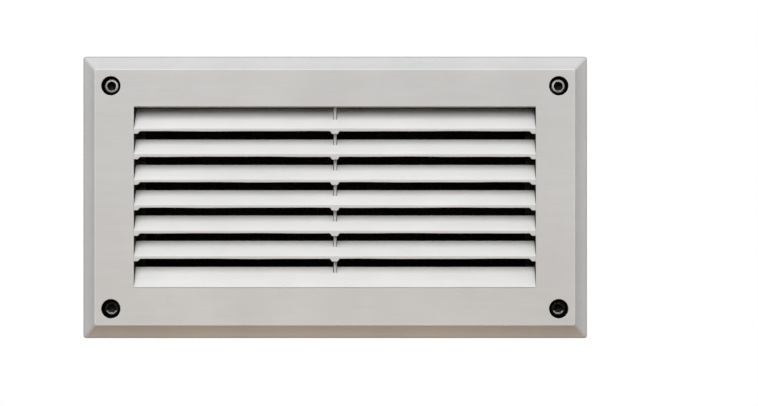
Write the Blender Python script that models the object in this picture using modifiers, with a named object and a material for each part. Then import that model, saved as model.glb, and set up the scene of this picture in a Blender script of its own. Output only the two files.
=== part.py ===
"""Louvred air grille: a cast face with fixed sloping blades, screwed to a wall sleeve.

Sizes are in millimetres and become metres as each mesh is made. +Z is up, the front faces
-Y, and the wall's surface is the plane y = 0. Left and right are as seen from the front.
"""

import math

import bmesh
import bpy
from mathutils import Matrix, Vector

MM = 0.001
GAP = 0.3  # air between pieces that meet
OVERSHOOT = 2.0  # how far a cutter runs past the face that it opens

# Face frame
FACE_WIDTH = 254.0
FACE_HEIGHT = 142.0
FRONT = -14.0  # y of the front face
BEVEL = 7.0
PLATE = 3.5  # thickness behind the front face
RIM_WALL = 3.0
OPENING_WIDTH = 201.0
OPENING_HEIGHT = 90.7
SKIRT_WALL = 5.0
SKIRT_REAR = -2.7
LEDGE_WALL = 7.0  # the rim is this thick in front of the gasket
LEDGE_REAR = -4.6

# Blades and the rib behind them
BLADE_COUNT = 7
BLADE_PITCH = 12.77
FIRST_LIP = 33.1  # z of the lower edge of the top blade
LIP = 1.3  # height of the upright front edge
BLADE_RISE = 8.8  # height of an ordinary blade
BLADE_SHEET = 2.9  # upright thickness of the sloping part
BLADE_BACK = 1.25  # depth of the flat along the upper edge
DEEPEST_BLADE = -3.0
BLADE_RAKE = 1.0  # rise for each unit of depth
SILL_LIP = 0.3
SILL_RISE = 10.1
SILL_RAKE = 1.5
SIDE_GAP = 0.1
TENON_SHEET = 1.7
TENON_LENGTH = 2.2
TENON_FRONT = -11.9
GUSSET_DEPTH = 1.4
GUSSET_DROP = 1.3
END_GUSSET = 3.0
CENTRE_GUSSET = 5.0
RIB_WIDTH = 1.4
RIB_FRONT = FRONT + 5.0
RIB_REAR = DEEPEST_BLADE
RIB_TENON = 1.4

# Socket head screws M5 x 16, in the four corners
SCREW_SPACING_X = 224.0
SCREW_SPACING_Z = 111.5
HEAD_RADIUS = 4.25
HEAD_HEIGHT = 5.0
SOCKET_ACROSS_FLATS = 4.0
SOCKET_DEPTH = 2.5
THREAD_RADIUS = 2.4
SCREW_LENGTH = 16.0
COUNTERBORE_RADIUS = 4.7
CLEARANCE_RADIUS = 2.8
BOSS_RADIUS = 7.0
WASHER_RADIUS = 4.4
WASHER_THICKNESS = 0.8
FIT_GAP = 0.1  # between head, washer and seat
HEAD_SINK = 2.5  # how deep a head sits below the front
HEAD_EDGE = 0.8
HEAD_UNDER = FRONT + HEAD_SINK + HEAD_HEIGHT  # y of a head's underside
SEAT = HEAD_UNDER + WASHER_THICKNESS + 2 * FIT_GAP  # y of the counterbore's floor

# Wall sleeve
SLEEVE_REAR = 60.0
FLANGE = 2.4
DUCT_WIDTH = 214.0
DUCT_HEIGHT = 104.0
DUCT_WALL = 2.0
RIM_CLEARANCE = 0.5
INSERT_RADIUS = 3.5
INSERT_LENGTH = 10.0
INSERT_BORE = 2.7
INSERT_SINK = 0.2
INSERT_BOSS_RADIUS = 5.5
INSERT_BOSS_REAR = 14.0
POCKET_REAR = 11.0
WALL_HOLE_RADIUS = 2.25
WALL_HOLE_SIDE = 115.75
WALL_HOLE_ACROSS = 60.0
WALL_HOLE_UP = 60.25

# Screen, filter and gasket
SCREEN_WIDTH = 203.0
SCREEN_HEIGHT = 93.0
SCREEN_FRONT = -2.5
SCREEN_THICKNESS = 0.5
HOLDER_WIDTH = 211.2
HOLDER_HEIGHT = 101.2
HOLDER_FRONT = -1.8
HOLDER_PLATE = 1.5
TRAY_WIDTH = 200.0
TRAY_HEIGHT = 90.0
TRAY_WALL = 1.5
TRAY_LIP = 2.0
TRAY_REAR = 11.0
PAD_THICKNESS = 10.7
SMALL_SPACING_X = 206.4
SMALL_SPACING_Z = 96.4
SMALL_HEAD_RADIUS = 2.25
SMALL_HEAD_HEIGHT = 1.6
SMALL_THREAD_RADIUS = 1.1
SMALL_LENGTH = 9.0
SMALL_PILOT_RADIUS = 1.25
GASKET_WIDTH = 2.8
GASKET_FRONT = LEDGE_REAR + 0.2
GASKET_REAR = -2.6

CORNERS = [("top_left", -1, 1), ("top_right", 1, 1), ("bottom_left", -1, -1), ("bottom_right", 1, -1)]
ROUND_SIDES = 32
SMALL_SIDES = 20
SHARP_ANGLE = 35.0


def new_collection(name):
    collection = bpy.data.collections.new(name)
    bpy.context.scene.collection.children.link(collection)
    return collection


def clear_scene():
    for obj in list(bpy.data.objects):
        bpy.data.objects.remove(obj, do_unlink=True)


clear_scene()
PARTS = new_collection("louvred_air_grille")
CUTTERS = new_collection("cutters")


def make_material(name, colour, roughness, metallic=0.0):
    material = bpy.data.materials.new(name)
    material.use_nodes = True
    shader = material.node_tree.nodes["Principled BSDF"]
    shader.inputs["Base Color"].default_value = (*colour, 1.0)
    shader.inputs["Roughness"].default_value = roughness
    shader.inputs["Metallic"].default_value = metallic
    return material


PAINT = make_material("grey_paint", (0.60, 0.59, 0.57), 0.45)
STEEL = make_material("stainless_steel", (0.55, 0.54, 0.52), 0.3, 1.0)
NYLON = make_material("black_nylon", (0.03, 0.03, 0.03), 0.6)
BRASS = make_material("brass", (0.75, 0.55, 0.25), 0.35, 1.0)
SLEEVE_PLASTIC = make_material("sleeve_plastic", (0.20, 0.21, 0.22), 0.55)
WIRE = make_material("black_wire", (0.03, 0.03, 0.03), 0.5, 0.6)
HOLDER_PLASTIC = make_material("holder_plastic", (0.05, 0.05, 0.055), 0.5)
CHARCOAL = make_material("charcoal_foam", (0.025, 0.025, 0.025), 0.95)
SEAL_FOAM = make_material("seal_foam", (0.07, 0.07, 0.07), 0.9)


def link_mesh(name, mesh, collection):
    obj = bpy.data.objects.new(name, mesh)
    collection.objects.link(obj)
    return obj


def finish_bmesh(name, bm, collection):
    bmesh.ops.recalc_face_normals(bm, faces=bm.faces)
    mesh = bpy.data.meshes.new(name)
    bm.to_mesh(mesh)
    bm.free()
    return link_mesh(name, mesh, collection)


def box(name, low, high, collection=CUTTERS):
    """A box between two corners, in millimetres."""
    low, high = Vector(low) * MM, Vector(high) * MM
    place = Matrix.Translation((low + high) / 2) @ Matrix.Diagonal((*(high - low), 1.0))
    bm = bmesh.new()
    bmesh.ops.create_cube(bm, size=1.0, matrix=place)
    return finish_bmesh(name, bm, collection)


def centred_box(name, width, height, y_front, y_rear, collection=CUTTERS):
    low = (-width / 2, y_front, -height / 2)
    high = (width / 2, y_rear, height / 2)
    return box(name, low, high, collection)


def cylinder(name, x, z, radius, y_front, y_rear, sides=ROUND_SIDES, collection=CUTTERS):
    """A cylinder along Y, in millimetres."""
    middle = Vector((x, (y_front + y_rear) / 2, z)) * MM
    place = Matrix.Translation(middle) @ Matrix.Rotation(math.radians(90), 4, "X")
    bm = bmesh.new()
    bmesh.ops.create_cone(
        bm,
        cap_ends=True,
        segments=sides,
        radius1=radius * MM,
        radius2=radius * MM,
        depth=(y_rear - y_front) * MM,
        matrix=place,
    )
    return finish_bmesh(name, bm, collection)


def plate(name, outline, thickness, turn, collection=CUTTERS):
    """A flat outline in its own X and Y, given its thickness, then turned into place."""
    curve = bpy.data.curves.new(name, "CURVE")
    curve.dimensions = "2D"
    curve.fill_mode = "BOTH"
    curve.extrude = thickness / 2 * MM
    spline = curve.splines.new("POLY")
    spline.points.add(len(outline) - 1)
    for point, (across, up) in zip(spline.points, outline):
        point.co = (across * MM, up * MM, 0.0, 1.0)
    spline.use_cyclic_u = True
    drawn = link_mesh(name + "_curve", curve, collection)
    bpy.context.view_layer.update()
    mesh = bpy.data.meshes.new_from_object(drawn.evaluated_get(bpy.context.evaluated_depsgraph_get()))
    bpy.data.objects.remove(drawn, do_unlink=True)
    bm = bmesh.new()
    bm.from_mesh(mesh)
    bmesh.ops.remove_doubles(bm, verts=bm.verts, dist=0.01 * MM)
    bm.transform(turn)
    bpy.data.meshes.remove(mesh)
    return finish_bmesh(name, bm, collection)


# Outline X and Y become the world's Y and Z, and the thickness runs along X
FACING_X = Matrix(((0, 0, 1, 0), (1, 0, 0, 0), (0, 1, 0, 0), (0, 0, 0, 1)))


def facing_y(y_middle):
    """Outline X and Y become the world's X and Z, and the thickness runs along Y."""
    stand = Matrix(((1, 0, 0, 0), (0, 0, 1, 0), (0, 1, 0, 0), (0, 0, 0, 1)))
    return Matrix.Translation((0, y_middle * MM, 0)) @ stand


def combine(target, tools, operation):
    """Add or cut a list of closed meshes with one Boolean."""
    group = bpy.data.collections.new(f"{target.name}_{operation.lower()}")
    CUTTERS.children.link(group)
    for tool in tools:
        tool.hide_render = True
        tool.display_type = "WIRE"
        group.objects.link(tool)
        CUTTERS.objects.unlink(tool)
    modifier = target.modifiers.new(group.name, "BOOLEAN")
    modifier.operation = operation
    modifier.solver = "EXACT"
    modifier.operand_type = "COLLECTION"
    modifier.collection = group


def turned(name, profile, sides):
    """A profile of (radius, height) points, outer side downwards, turned about its own Z."""
    mesh = bpy.data.meshes.new(name)
    points = [(radius * MM, 0.0, height * MM) for radius, height in profile]
    edges = [(i, i + 1) for i in range(len(points) - 1)]
    is_ring = profile[0][0] > 0
    if is_ring:
        edges.append((len(points) - 1, 0))
    mesh.from_pydata(points, edges, [])
    obj = link_mesh(name, mesh, PARTS)
    screw = obj.modifiers.new("turn", "SCREW")
    screw.axis = "Z"
    screw.steps = sides
    screw.render_steps = sides
    screw.use_merge_vertices = True
    screw.merge_threshold = 0.01 * MM
    bake(obj)
    obj.data.shade_smooth()
    obj.data.set_sharp_from_angle(angle=math.radians(SHARP_ANGLE))
    return obj


def bake(obj):
    """Replace an object's mesh by what its modifiers make of it."""
    bpy.context.view_layer.update()
    graph = bpy.context.evaluated_depsgraph_get()
    mesh = bpy.data.meshes.new_from_object(obj.evaluated_get(graph))
    obj.modifiers.clear()
    obj.data = mesh
    mesh.name = obj.name


def ring_profile(outer, inner, low, high):
    return [(outer, high), (outer, low), (inner, low), (inner, high)]


def finish_part(obj, material):
    obj.data.materials.clear()
    obj.data.materials.append(material)


def screw_centre(side_x, side_z):
    return side_x * SCREW_SPACING_X / 2, side_z * SCREW_SPACING_Z / 2


def blade_sizes(index):
    """Lower edge, lip height, upper edge and rake of a blade, counted from the top."""
    low = FIRST_LIP - index * BLADE_PITCH
    if index == 0:
        return low, LIP, OPENING_HEIGHT / 2 - 0.25, BLADE_RAKE
    if index == BLADE_COUNT - 1:
        low = -OPENING_HEIGHT / 2 + 0.15
        return low, SILL_LIP, low + SILL_RISE, SILL_RAKE
    return low, LIP, low + BLADE_RISE, BLADE_RAKE


def blade_outline(index):
    """The blade's section: an upright lip, then a sloping sheet that rises rearwards."""
    low, lip, top, rake = blade_sizes(index)
    toe = FRONT + (BLADE_SHEET - lip) / rake
    crest = FRONT + (top - low - lip) / rake
    rear = min(crest + BLADE_BACK, DEEPEST_BLADE)
    return [
        (FRONT, low),
        (toe, low),
        (rear, low + (rear - toe) * rake),
        (rear, top),
        (crest, top),
        (FRONT, low + lip),
    ]


def tenon_outline(index, grow, front, rear):
    """A strip inside the blade's sloping sheet, or the slot for it when grown."""
    low, lip, _, rake = blade_sizes(index)
    middle = low + lip - BLADE_SHEET / 2
    half = TENON_SHEET / 2 + grow
    at_front = middle + (front - FRONT) * rake
    at_rear = middle + (rear - FRONT) * rake
    return [
        (front, at_front - half),
        (rear, at_rear - half),
        (rear, at_rear + half),
        (front, at_front + half),
    ]


def tenon_rear(index):
    """Where the tenon strip stops, just below the blade's upper edge."""
    low, lip, top, rake = blade_sizes(index)
    highest = low + lip - BLADE_SHEET / 2 + TENON_SHEET / 2
    return FRONT + (top - 0.1 - highest) / rake


def gusset_outlines(low):
    """The little webs under a lip: one at each end and one at the middle."""
    root = low + LIP / 2
    foot = low - GUSSET_DROP
    half = OPENING_WIDTH / 2 - SIDE_GAP
    inner = half - END_GUSSET
    end = [(half, root), (half, foot), (inner + GUSSET_DROP, foot), (inner, low), (inner, root)]
    flank = CENTRE_GUSSET / 2
    lower = flank - 1.0
    centre = [(-flank, root), (-flank, low), (-lower, foot), (lower, foot), (flank, low), (flank, root)]
    return [end, [(-x, z) for x, z in end], centre]


def make_blade(index):
    low, _, top, _ = blade_sizes(index)
    name = f"louvre_blade_{index + 1}"
    outline = blade_outline(index)
    rear = max(y for y, _ in outline)
    blade = plate(name, outline, OPENING_WIDTH - 2 * SIDE_GAP, FACING_X, PARTS)
    reach = OPENING_WIDTH + 2 * TENON_LENGTH
    tenon = tenon_outline(index, 0.0, TENON_FRONT, min(rear - 0.1, tenon_rear(index)))
    added = [plate(f"{name}_tenons", tenon, reach, FACING_X)]
    if index < BLADE_COUNT - 1:
        place = facing_y(FRONT + GUSSET_DEPTH / 2)
        for number, shape in enumerate(gusset_outlines(low)):
            added.append(plate(f"{name}_gusset_{number}", shape, GUSSET_DEPTH, place))
    combine(blade, added, "UNION")
    half = RIB_WIDTH / 2 + GAP
    notch_low = (-half, RIB_FRONT - GAP, low - OVERSHOOT)
    notch = box(f"{name}_notch", notch_low, (half, 0.0, top + OVERSHOOT))
    combine(blade, [notch], "DIFFERENCE")
    finish_part(blade, PAINT)


def frame_hollow():
    """The space behind the front plate, less the skirt round the opening and the screw bosses."""
    rim = 2 * RIM_WALL
    ledge = 2 * LEDGE_WALL
    hollow = centred_box("hollow", FACE_WIDTH - rim, FACE_HEIGHT - rim, LEDGE_REAR, 0.0)
    deep = centred_box(
        "hollow_deep", FACE_WIDTH - ledge, FACE_HEIGHT - ledge, FRONT + PLATE, LEDGE_REAR + 1.0
    )
    combine(hollow, [deep], "UNION")
    skirt = 2 * SKIRT_WALL
    core = [centred_box("skirt", OPENING_WIDTH + skirt, OPENING_HEIGHT + skirt, FRONT, SKIRT_REAR)]
    for name, side_x, side_z in CORNERS:
        x, z = screw_centre(side_x, side_z)
        core.append(cylinder(f"boss_{name}", x, z, BOSS_RADIUS, FRONT, SKIRT_REAR))
    combine(hollow, core, "DIFFERENCE")
    return hollow


def frame_holes():
    """Counterbores, clearance holes and the pilot holes for the small screws."""
    holes = []
    for name, side_x, side_z in CORNERS:
        x, z = screw_centre(side_x, side_z)
        front = FRONT - OVERSHOOT
        holes.append(cylinder(f"counterbore_{name}", x, z, COUNTERBORE_RADIUS, front, SEAT))
        holes.append(cylinder(f"clearance_{name}", x, z, CLEARANCE_RADIUS, front, 0.0))
        x, z = side_x * SMALL_SPACING_X / 2, side_z * SMALL_SPACING_Z / 2
        pilot_front = HOLDER_FRONT - SMALL_LENGTH
        holes.append(cylinder(f"pilot_{name}", x, z, SMALL_PILOT_RADIUS, pilot_front, 0.0, SMALL_SIDES))
    return holes


def frame_grooves():
    """Slots, open at the rear, that hold the ends of the blades and of the rib."""
    reach = OPENING_WIDTH + 2 * (TENON_LENGTH + GAP)
    slots = []
    for index in range(BLADE_COUNT):
        outline = tenon_outline(index, GAP, TENON_FRONT - GAP, SKIRT_REAR + OVERSHOOT)
        slots.append(plate(f"slot_{index + 1}", outline, reach, FACING_X))
    height = OPENING_HEIGHT + 2 * (RIB_TENON + GAP)
    slots.append(centred_box("rib_slot", RIB_WIDTH + 2 * GAP, height, RIB_FRONT - GAP, 0.0))
    return slots


def make_face_frame():
    frame = centred_box("face_frame", FACE_WIDTH, FACE_HEIGHT, FRONT, -GAP, PARTS)
    bm = bmesh.new()
    bm.from_mesh(frame.data)
    front_edges = [edge for edge in bm.edges if all(v.co.y < (FRONT + 1.0) * MM for v in edge.verts)]
    bmesh.ops.bevel(bm, geom=front_edges, offset=BEVEL * MM, segments=1, affect="EDGES")
    bm.to_mesh(frame.data)
    bm.free()
    opening = centred_box("opening", OPENING_WIDTH, OPENING_HEIGHT, FRONT - OVERSHOOT, OVERSHOOT)
    combine(frame, [frame_hollow(), opening], "DIFFERENCE")
    combine(frame, frame_holes() + frame_grooves(), "DIFFERENCE")
    finish_part(frame, PAINT)


def make_rib():
    height = OPENING_HEIGHT + 2 * RIB_TENON
    rib = centred_box("centre_rib", RIB_WIDTH, height, RIB_FRONT, RIB_REAR, PARTS)
    finish_part(rib, PAINT)


def make_gasket():
    width = FACE_WIDTH - 2 * RIM_WALL - 2 * GAP
    height = FACE_HEIGHT - 2 * RIM_WALL - 2 * GAP
    gasket = centred_box("rim_gasket", width, height, GASKET_FRONT, GASKET_REAR, PARTS)
    inner_width = width - 2 * GASKET_WIDTH
    inner_height = height - 2 * GASKET_WIDTH
    middle = centred_box("gasket_middle", inner_width, inner_height, FRONT, 0.0)
    combine(gasket, [middle], "DIFFERENCE")
    finish_part(gasket, SEAL_FOAM)


def wall_hole_centres():
    """One hole at the middle of each side of the flange, and two above and below."""
    across, up = WALL_HOLE_ACROSS, WALL_HOLE_UP
    long_sides = [(x, z) for x in (-across, across) for z in (-up, up)]
    return [(-WALL_HOLE_SIDE, 0.0), (WALL_HOLE_SIDE, 0.0)] + long_sides


def make_wall_sleeve():
    rim = 2 * (RIM_WALL + RIM_CLEARANCE)
    wall = 2 * DUCT_WALL
    sleeve = centred_box("wall_sleeve", FACE_WIDTH - rim, FACE_HEIGHT - rim, -FLANGE, 0.0, PARTS)
    added = [centred_box("duct", DUCT_WIDTH + wall, DUCT_HEIGHT + wall, -FLANGE / 2, SLEEVE_REAR)]
    cut = [centred_box("duct_hollow", DUCT_WIDTH, DUCT_HEIGHT, FRONT, SLEEVE_REAR + OVERSHOOT)]
    pockets = []
    for name, side_x, side_z in CORNERS:
        x, z = screw_centre(side_x, side_z)
        front = -FLANGE / 2
        added.append(cylinder(f"insert_boss_{name}", x, z, INSERT_BOSS_RADIUS, front, INSERT_BOSS_REAR))
        pockets.append(cylinder(f"pocket_{name}", x, z, INSERT_RADIUS + GAP / 2, FRONT, POCKET_REAR))
    for x, z in wall_hole_centres():
        hole = cylinder("wall_hole", x, z, WALL_HOLE_RADIUS, FRONT, OVERSHOOT, SMALL_SIDES)
        pockets.append(hole)
    combine(sleeve, added, "UNION")
    combine(sleeve, cut, "DIFFERENCE")
    combine(sleeve, pockets, "DIFFERENCE")
    finish_part(sleeve, SLEEVE_PLASTIC)


def make_insect_mesh():
    rear = SCREEN_FRONT + SCREEN_THICKNESS
    screen = centred_box("insect_mesh", SCREEN_WIDTH, SCREEN_HEIGHT, SCREEN_FRONT, rear, PARTS)
    finish_part(screen, WIRE)


def make_screen_frame():
    """The flat ring that clamps the mesh, with the filter's tray behind it."""
    plate_rear = HOLDER_FRONT + HOLDER_PLATE
    holder = centred_box("screen_frame", HOLDER_WIDTH, HOLDER_HEIGHT, HOLDER_FRONT, plate_rear, PARTS)
    tray = centred_box("tray", TRAY_WIDTH, TRAY_HEIGHT, HOLDER_FRONT + HOLDER_PLATE / 2, TRAY_REAR)
    pad_width = TRAY_WIDTH - 2 * TRAY_WALL
    pad_height = TRAY_HEIGHT - 2 * TRAY_WALL
    well = centred_box("tray_well", pad_width, pad_height, plate_rear, TRAY_REAR + OVERSHOOT)
    window_width = pad_width - 2 * TRAY_LIP
    window_height = pad_height - 2 * TRAY_LIP
    window = centred_box("tray_window", window_width, window_height, FRONT, TRAY_REAR)
    holes = []
    for name, side_x, side_z in CORNERS:
        x, z = side_x * SMALL_SPACING_X / 2, side_z * SMALL_SPACING_Z / 2
        holes.append(cylinder(f"holder_hole_{name}", x, z, SMALL_PILOT_RADIUS, FRONT, 1.0, SMALL_SIDES))
    combine(holder, [tray], "UNION")
    combine(holder, [well, window] + holes, "DIFFERENCE")
    finish_part(holder, HOLDER_PLASTIC)


def make_filter_pad():
    width = TRAY_WIDTH - 2 * (TRAY_WALL + GAP)
    height = TRAY_HEIGHT - 2 * (TRAY_WALL + GAP)
    front = HOLDER_FRONT + HOLDER_PLATE + GAP
    pad = centred_box("filter_pad", width, height, front, front + PAD_THICKNESS, PARTS)
    finish_part(pad, CHARCOAL)


def make_face_screw(name, x, z):
    """A socket head screw whose origin is on its axis, under the head."""
    edge = HEAD_EDGE
    tip = 0.6
    profile = [
        (0.0, HEAD_HEIGHT),
        (HEAD_RADIUS - edge, HEAD_HEIGHT),
        (HEAD_RADIUS, HEAD_HEIGHT - edge),
        (HEAD_RADIUS, 0.0),
        (THREAD_RADIUS, 0.0),
        (THREAD_RADIUS, tip - SCREW_LENGTH),
        (THREAD_RADIUS - tip, -SCREW_LENGTH),
        (0.0, -SCREW_LENGTH),
    ]
    screw = turned(f"face_screw_{name}", profile, ROUND_SIDES)
    place_facing(screw, x, HEAD_UNDER, z, 90)
    bm = bmesh.new()
    corner = SOCKET_ACROSS_FLATS / math.sqrt(3) * MM
    bmesh.ops.create_cone(
        bm, cap_ends=True, segments=6, radius1=corner, radius2=corner, depth=2 * SOCKET_DEPTH * MM
    )
    socket = finish_bmesh(f"socket_{name}", bm, CUTTERS)
    place_facing(socket, x, FRONT + HEAD_SINK, z, 90)
    combine(screw, [socket], "DIFFERENCE")
    finish_part(screw, STEEL)


def place_facing(obj, x, y, z, degrees):
    """Put an object's own Z along -Y (90 degrees) or +Y (-90 degrees)."""
    obj.location = Vector((x, y, z)) * MM
    obj.rotation_euler = (math.radians(degrees), 0.0, 0.0)


def make_fastenings():
    """At each corner: the screw, its sealing washer and the brass insert behind the flange."""
    for name, side_x, side_z in CORNERS:
        x, z = screw_centre(side_x, side_z)
        washer_profile = ring_profile(WASHER_RADIUS, CLEARANCE_RADIUS, 0.0, WASHER_THICKNESS)
        washer = turned(f"sealing_washer_{name}", washer_profile, ROUND_SIDES)
        place_facing(washer, x, SEAT - FIT_GAP, z, 90)
        finish_part(washer, NYLON)
        make_face_screw(name, x, z)
        insert_profile = ring_profile(INSERT_RADIUS, INSERT_BORE, -INSERT_LENGTH, 0.0)
        insert = turned(f"threaded_insert_{name}", insert_profile, ROUND_SIDES)
        place_facing(insert, x, INSERT_SINK - FLANGE, z, 90)
        finish_part(insert, BRASS)


def make_screen_screws():
    """Small pan head screws, driven from behind, that hold the screen frame."""
    tip = 0.4
    edge = 0.5
    profile = [
        (0.0, SMALL_HEAD_HEIGHT),
        (SMALL_HEAD_RADIUS - edge, SMALL_HEAD_HEIGHT),
        (SMALL_HEAD_RADIUS, SMALL_HEAD_HEIGHT - edge),
        (SMALL_HEAD_RADIUS, 0.0),
        (SMALL_THREAD_RADIUS, 0.0),
        (SMALL_THREAD_RADIUS, tip - SMALL_LENGTH),
        (SMALL_THREAD_RADIUS - tip, -SMALL_LENGTH),
        (0.0, -SMALL_LENGTH),
    ]
    for name, side_x, side_z in CORNERS:
        screw = turned(f"screen_screw_{name}", profile, SMALL_SIDES)
        x, z = side_x * SMALL_SPACING_X / 2, side_z * SMALL_SPACING_Z / 2
        place_facing(screw, x, HOLDER_FRONT + HOLDER_PLATE + FIT_GAP, z, -90)
        finish_part(screw, STEEL)


def main():
    make_face_frame()
    for index in range(BLADE_COUNT):
        make_blade(index)
    make_rib()
    make_gasket()
    make_insect_mesh()
    make_screen_frame()
    make_screen_screws()
    make_filter_pad()
    make_wall_sleeve()
    make_fastenings()


main()
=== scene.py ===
"""The looks of the louvred air grille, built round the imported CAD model.

Shapes are worked out in millimetres, in the CAD's own frame, and become metres as each mesh
is made. +Z is up, the front faces -Y, and the wall's surface is the plane y = 0.
"""

import math

import bmesh
import bpy
from mathutils import Matrix, Vector, noise


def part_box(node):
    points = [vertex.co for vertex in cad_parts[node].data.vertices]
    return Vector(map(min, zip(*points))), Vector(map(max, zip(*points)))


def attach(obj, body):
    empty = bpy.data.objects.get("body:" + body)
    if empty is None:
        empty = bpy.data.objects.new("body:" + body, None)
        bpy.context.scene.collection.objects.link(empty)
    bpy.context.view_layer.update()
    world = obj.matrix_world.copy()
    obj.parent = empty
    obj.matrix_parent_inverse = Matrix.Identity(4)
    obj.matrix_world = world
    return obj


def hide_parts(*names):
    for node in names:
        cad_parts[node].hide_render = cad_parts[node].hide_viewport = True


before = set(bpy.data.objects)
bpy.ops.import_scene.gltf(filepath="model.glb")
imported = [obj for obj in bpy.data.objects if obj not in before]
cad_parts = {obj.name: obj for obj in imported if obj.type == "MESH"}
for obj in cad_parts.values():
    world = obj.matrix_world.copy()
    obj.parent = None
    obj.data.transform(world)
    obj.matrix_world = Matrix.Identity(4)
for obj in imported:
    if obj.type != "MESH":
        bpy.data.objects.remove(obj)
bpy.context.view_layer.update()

MM = 0.001
TURN = 2 * math.pi
SHARP_ANGLE = math.radians(40)

CORNERS = ("top_left", "top_right", "bottom_left", "bottom_right")


def box_mm(node):
    """A CAD node's lowest and highest corner, in millimetres."""
    low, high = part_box(node)
    return low / MM, high / MM


FACE_LOW, FACE_HIGH = box_mm("face_frame")
FRONT = FACE_LOW.y
HALF_WIDTH = FACE_HIGH.x
HALF_HEIGHT = FACE_HIGH.z

BEVEL = 7.0
COVE_SAG = 0.4  # how hollow the bevel is
PLATE = 3.5
RIM_WALL = 3.0
LEDGE_WALL = 7.0
LEDGE_REAR = -4.6
OPENING_HALF_WIDTH = 100.5
OPENING_HALF_HEIGHT = 45.35
SKIRT_WALL = 5.0
SKIRT_REAR = -2.7
BOSS_RADIUS = 7.0
COUNTERBORE_RADIUS = 4.7
CLEARANCE_RADIUS = 2.8
SMALL_PILOT_RADIUS = 1.25

HEAD_HEIGHT = 5.0
SOCKET_RADIUS = 2.31  # to a corner of the 4 mm hexagon
SOCKET_TURN = TURN / 12
RING_RADIUS = 3.35  # outside the bright ring on a screw's head
CRESCENT_RADIUS = 2.95
CRESCENT_DROP = 1.0
SHANK_RADIUS = 2.48
SCREW_PITCH = 0.8

BLADE_COUNT = 7
LIP = 1.3
BLADE_RAKE = 1.0  # rise for each unit of depth
SILL_LIP = 0.3
SILL_RAKE = 1.5
BLADE_SHEET = 2.9
GUSSET_DROP = 1.3
WAVE = 0.07  # how far a cast lip strays from a straight line

MESH_PITCH = 2.5
MESH_WIRE_RADIUS = 0.14
DUCT_HALF_WIDTH = 109.0
DUCT_HALF_HEIGHT = 54.0
DUCT_WALL = 2.0
INSERT_BOSS_RADIUS = 5.5
INSERT_BOSS_REAR = 14.0
INSERT_POCKET_RADIUS = 3.65
INSERT_POCKET_REAR = 10.2
WALL_HOLE_RADIUS = 2.25
# (x, z), at the sides and then above and below the duct
WALL_HOLES = [(-115.75, 0), (115.75, 0)]
WALL_HOLES += [(x, z) for z in (60.25, -60.25) for x in (-60, 60)]


# ---------------------------------------------------------------------------------------
# Mesh helpers


def make_object(name, vertices, faces):
    """A mesh object from points in millimetres, smooth except at sharp edges."""
    mesh = bpy.data.meshes.new(name)
    mesh.from_pydata([Vector(v) * MM for v in vertices], [], faces)
    obj = bpy.data.objects.new(name, mesh)
    bpy.context.scene.collection.objects.link(obj)
    face_outwards(obj)
    shade(obj)
    return obj


def face_outwards(obj):
    bm = bmesh.new()
    bm.from_mesh(obj.data)
    bmesh.ops.recalc_face_normals(bm, faces=bm.faces)
    bm.to_mesh(obj.data)
    bm.free()


def shade(obj):
    obj.data.shade_smooth()
    obj.data.set_sharp_from_angle(angle=SHARP_ANGLE)


def rounded(points, radius, steps=3):
    """A closed outline with its corners turned into arcs. radius is one number or one a corner."""
    radii = radius if isinstance(radius, (list, tuple)) else [radius] * len(points)
    outline = []
    for index, corner_radius in enumerate(radii):
        here = Vector(points[index])
        before = Vector(points[index - 1]) - here
        after = Vector(points[(index + 1) % len(points)]) - here
        half = before.angle(after) / 2
        reach = min(corner_radius / math.tan(half), 0.45 * before.length, 0.45 * after.length)
        corner_radius = reach * math.tan(half)
        inwards = (before.normalized() + after.normalized()).normalized()
        centre = here + inwards * corner_radius / math.sin(half)
        start = (here + before.normalized() * reach - centre).normalized()
        end = (here + after.normalized() * reach - centre).normalized()
        for step in range(steps + 1):
            outline.append(tuple(centre + start.slerp(end, step / steps) * corner_radius))
    return outline


def loft(name, sections, ring=False):
    """A closed surface through sections with the same number of points each."""
    size = len(sections[0])
    vertices = [point for section in sections for point in section]
    count = len(sections)
    faces = []
    for this in range(count if ring else count - 1):
        following = (this + 1) % count
        for i in range(size):
            j = (i + 1) % size
            near, far = this * size, following * size
            faces.append((near + i, near + j, far + j, far + i))
    if not ring:
        faces.append(tuple(reversed(range(size))))
        faces.append(tuple(range((count - 1) * size, count * size)))
    return make_object(name, vertices, faces)


def rectangle(half_width, half_height, y, corner=0.6, steps=3):
    """A rectangle facing -Y with rounded corners."""
    square = [(half_width, half_height), (-half_width, half_height)]
    square += [(-half_width, -half_height), (half_width, -half_height)]
    return [(x, y, z) for x, z in rounded(square, max(corner, 0.02), steps)]


def ring_of_rectangles(name, half_width, half_height, section, corner=0.6):
    """A section of (inset, y) points carried round a rectangle, as one closed ring."""
    loops = []
    for inset, y in section:
        loop_corner = max(corner - inset, 0.3)
        loops.append(rectangle(half_width - inset, half_height - inset, y, loop_corner))
    return loft(name, loops, ring=True)


def turned(name, centre, profile, sides=64, radius_at=None, ring=False):
    """A profile of (radius, y) points turned about an axis along Y, through centre (x, z)."""
    x, z = centre
    loops = []
    for radius, y in profile:
        loop = []
        for i in range(sides):
            angle = TURN * i / sides
            here = radius_at(radius, angle, y) if radius_at else radius
            loop.append((x + here * math.cos(angle), y, z + here * math.sin(angle)))
        loops.append(loop)
    return loft(name, loops, ring=ring)


def block(name, low, high):
    bm = bmesh.new()
    low, high = Vector(low) * MM, Vector(high) * MM
    place = Matrix.Translation((low + high) / 2) @ Matrix.Diagonal((*(high - low), 1.0))
    bmesh.ops.create_cube(bm, size=1.0, matrix=place)
    mesh = bpy.data.meshes.new(name)
    bm.to_mesh(mesh)
    bm.free()
    obj = bpy.data.objects.new(name, mesh)
    bpy.context.scene.collection.objects.link(obj)
    return obj


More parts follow.
